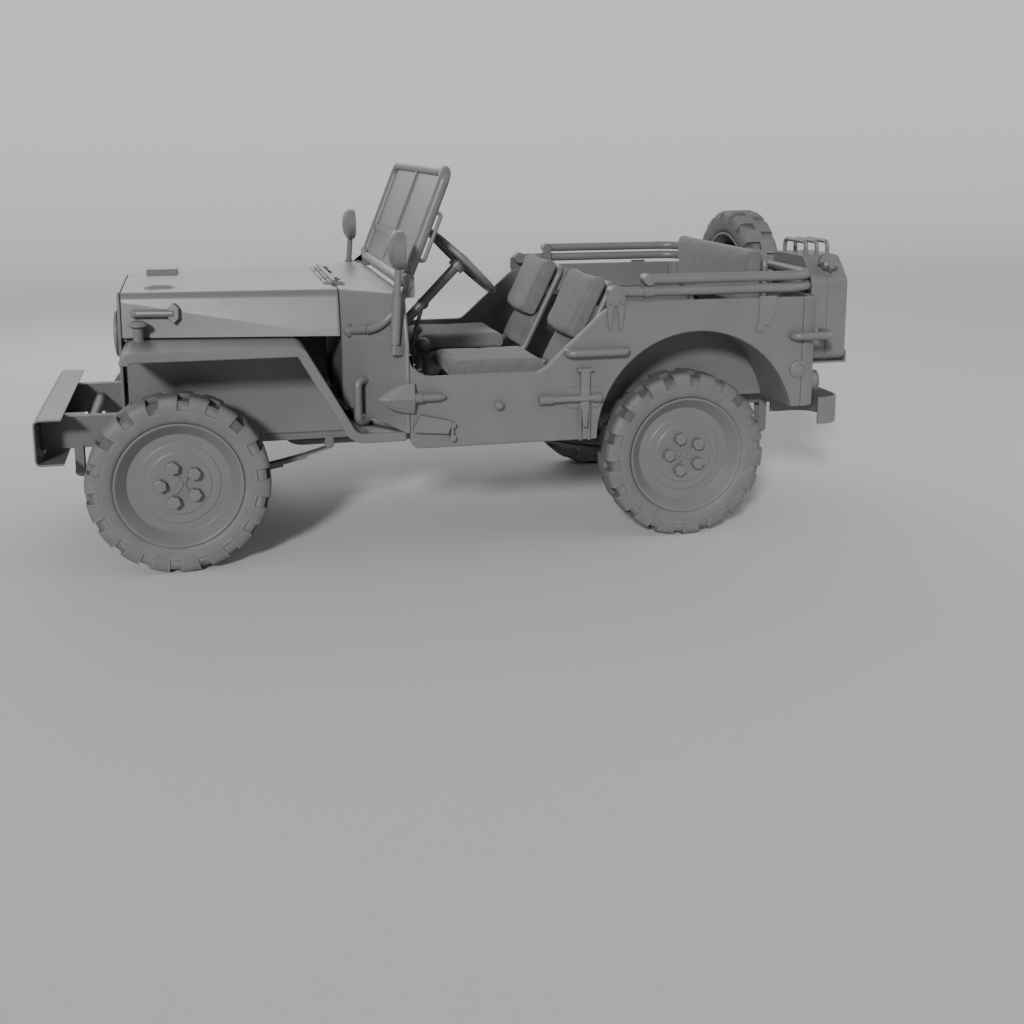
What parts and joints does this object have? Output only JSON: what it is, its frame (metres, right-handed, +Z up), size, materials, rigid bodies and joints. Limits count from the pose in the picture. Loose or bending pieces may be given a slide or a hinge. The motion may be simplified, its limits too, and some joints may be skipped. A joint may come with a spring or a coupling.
{
  "type": "army 4x4 car",
  "caption": "Open military car with four driven wheels, folding windscreen, hinged hood, steered front wheels, folding-top bows, spare wheel and fuel can on the tail.",
  "frame": {"origin": "on the ground under the middle of the whole box", "axes": "+X forward, +Y to the driver's left, +Z up"},
  "size_m": [3.285, 1.675, 1.5271],
  "materials": {
    "body_paint": "satin",
    "running_gear": "satin",
    "tyre_rubber": "matte",
    "canvas": "matte",
    "pane": "satin, painted over",
    "hand_wheel": "satin",
    "lamp": "satin"
  },
  "bodies": {
    "chassis": {"frame": "running_gear", "cross_members": "running_gear", "front_bumper": "body_paint", "rear_bumperettes": "body_paint", "floor": "body_paint", "body_side_left": "body_paint", "body_side_right": "body_paint", "rear_panel": "body_paint", "wheel_housings": "body_paint", "cowl": "body_paint", "grille": "body_paint", "lamps": "lamp", "fender_left": "body_paint", "fender_right": "body_paint", "engine": "running_gear", "radiator": "running_gear", "drivetrain": "running_gear", "exhaust": "running_gear", "front_axle": "running_gear", "rear_axle": "running_gear", "leaf_springs": "running_gear", "steering_column": "body_paint", "seat_frames": "body_paint", "driver_cushions": "canvas", "passenger_cushions": "canvas", "rear_cushions": "canvas", "control_levers": "body_paint", "mirrors": "body_paint", "grab_handles": "body_paint", "side_tools": "body_paint", "bow_brackets": "body_paint", "spare_disc": "body_paint", "spare_tyre": "tyre_rubber", "fuel_can": "body_paint", "rear_carriers": "body_paint"},
    "hood": {"hood": "body_paint"},
    "windscreen": {"windscreen_frame": "body_paint", "windscreen_panes": "pane"},
    "hand_wheel": {"steering_wheel": "hand_wheel"},
    "left_knuckle": {"knuckle_left": "running_gear"},
    "right_knuckle": {"knuckle_right": "running_gear"},
    "steering_rod": {"tie_rod": "running_gear"},
    "wheel_front_left": {"disc_front_left": "body_paint", "tyre_front_left": "tyre_rubber"},
    "wheel_front_right": {"disc_front_right": "body_paint", "tyre_front_right": "tyre_rubber"},
    "wheel_rear_left": {"disc_rear_left": "body_paint", "tyre_rear_left": "tyre_rubber"},
    "wheel_rear_right": {"disc_rear_right": "body_paint", "tyre_rear_right": "tyre_rubber"},
    "main_bow": {"bow_main": "body_paint"},
    "second_bow": {"bow_second": "body_paint"}
  },
  "joints": [
    {"name": "hood_open", "type": "hinge", "parent": "chassis", "child": "hood", "pos_m": [0.4805, 0, 1.062], "axis": [0, -1, 0], "range_deg": [0, 105]},
    {"name": "windscreen_fold", "type": "hinge", "parent": "chassis", "child": "windscreen", "pos_m": [0.2275, 0, 1.1], "axis": [0, -1, 0], "range_deg": [-111, 0]},
    {"name": "steer_left", "type": "hinge", "parent": "chassis", "child": "left_knuckle", "pos_m": [1.1185, 0.501, 0.344], "axis": [0, 0, 1], "range_deg": [-24, 24]},
    {"name": "steer_right", "type": "hinge", "parent": "chassis", "child": "right_knuckle", "pos_m": [1.1185, -0.501, 0.344], "axis": [0, 0, 1], "range_deg": [-24, 24]},
    {"name": "rod_swing", "type": "hinge", "parent": "left_knuckle", "child": "steering_rod", "pos_m": [1.2585, 0.501, 0.368], "axis": [0, 0, 1], "range_deg": [-24, 24]},
    {"name": "hand_wheel_turn", "type": "hinge", "parent": "chassis", "child": "hand_wheel", "pos_m": [-0.0475, 0.3, 1.13], "axis": [-0.6972, 0, 0.7169], "range_deg": [-336, 336]},
    {"name": "spin_front_left", "type": "hinge", "parent": "left_knuckle", "child": "wheel_front_left", "pos_m": [1.1185, 0.613, 0.344], "axis": [0, 1, 0], "continuous": true},
    {"name": "spin_front_right", "type": "hinge", "parent": "right_knuckle", "child": "wheel_front_right", "pos_m": [1.1185, -0.613, 0.344], "axis": [0, 1, 0], "continuous": true},
    {"name": "spin_rear_left", "type": "hinge", "parent": "chassis", "child": "wheel_rear_left", "pos_m": [-0.9135, 0.613, 0.344], "axis": [0, 1, 0], "continuous": true},
    {"name": "spin_rear_right", "type": "hinge", "parent": "chassis", "child": "wheel_rear_right", "pos_m": [-0.9135, -0.613, 0.344], "axis": [0, 1, 0], "continuous": true},
    {"name": "main_bow_raise", "type": "hinge", "parent": "chassis", "child": "main_bow", "pos_m": [-0.5615, 0, 1.038], "axis": [0, 1, 0], "range_deg": [0, 100]},
    {"name": "second_bow_raise", "type": "hinge", "parent": "main_bow", "child": "second_bow", "pos_m": [-0.7015, 0, 1.086], "axis": [0, 1, 0], "range_deg": [0, 40]}
  ],
  "couplings": [
    {"joint": "steer_right", "follows": "steer_left", "ratio": 1},
    {"joint": "rod_swing", "follows": "steer_left", "ratio": -1},
    {"joint": "hand_wheel_turn", "follows": "steer_left", "ratio": 14}
  ]
}
